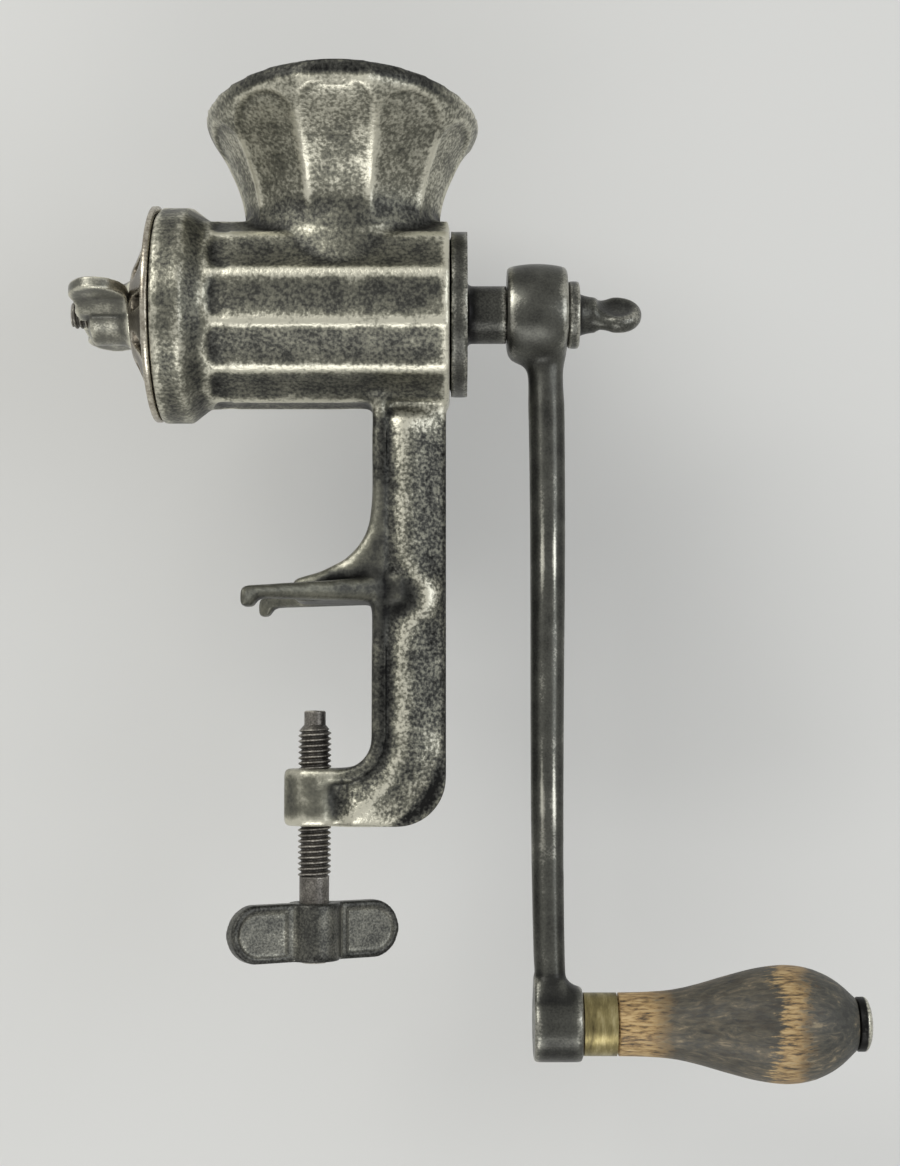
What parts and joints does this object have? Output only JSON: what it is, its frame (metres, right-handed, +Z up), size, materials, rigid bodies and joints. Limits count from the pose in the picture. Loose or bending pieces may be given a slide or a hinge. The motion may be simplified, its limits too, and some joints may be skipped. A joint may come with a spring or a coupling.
{
  "type": "hand crank meat grinder",
  "caption": "Cast iron table-clamp meat grinder with a fluted hopper and barrel, rotary face cutter, forged crank with turned wooden grip, and a thumb-plate clamp screw",
  "frame": {"origin": "on the clamp screw's axis, at the level of the jaw's toes, where the table top's face lies", "axes": "+X along the barrel towards the crank, +Z up"},
  "size_m": [0.2309, 0.094, 0.2826],
  "materials": {
    "worn_casting": "satin",
    "forged_iron": "satin",
    "dark_steel": "satin",
    "cutter_steel": "satin",
    "worn_wood": "satin",
    "aged_brass": "satin"
  },
  "bodies": {
    "frame": {"body_casting": "worn_casting"},
    "rotor": {"feed_screw": "worn_casting", "cutter_stud": "dark_steel", "cutter_disc": "cutter_steel", "crank_arm": "forged_iron", "handle_bolt": "dark_steel"},
    "grip": {"handle_grip": "worn_wood", "handle_ferrule": "aged_brass"},
    "nut": {"cutter_nut": "worn_casting"},
    "thumb": {"crank_thumb_screw": "forged_iron"},
    "clamp_rod": {"clamp_screw": "dark_steel"},
    "clamp_head": {"clamp_plate": "worn_casting"}
  },
  "joints": [
    {"name": "crank_spin", "type": "hinge", "parent": "frame", "child": "rotor", "pos_m": [0, 0, 0.0871], "axis": [1, 0, 0], "continuous": true},
    {"name": "grip_spin", "type": "hinge", "parent": "rotor", "child": "grip", "pos_m": [0.1, 0, -0.1178], "axis": [1, 0, 0], "continuous": true},
    {"name": "nut_turn", "type": "hinge", "parent": "rotor", "child": "nut", "pos_m": [-0.06, 0, 0.0871], "axis": [-1, 0, 0], "range_deg": [0, 360]},
    {"name": "thumb_turn", "type": "hinge", "parent": "rotor", "child": "thumb", "pos_m": [0.08, 0, 0.0871], "axis": [1, 0, 0], "range_deg": [0, 360]},
    {"name": "clamp_travel", "type": "slide", "parent": "frame", "child": "clamp_rod", "axis": [0, 0, 1], "range_m": [-0.016, 0.014]},
    {"name": "clamp_turn", "type": "hinge", "parent": "clamp_rod", "child": "clamp_head", "pos_m": [0, 0, -0.09], "axis": [0, 0, 1], "range_deg": [-3620, 3170]}
  ],
  "couplings": [
    {"joint": "clamp_travel", "follows": "clamp_turn", "m_per_rad": 0.00025266}
  ]
}
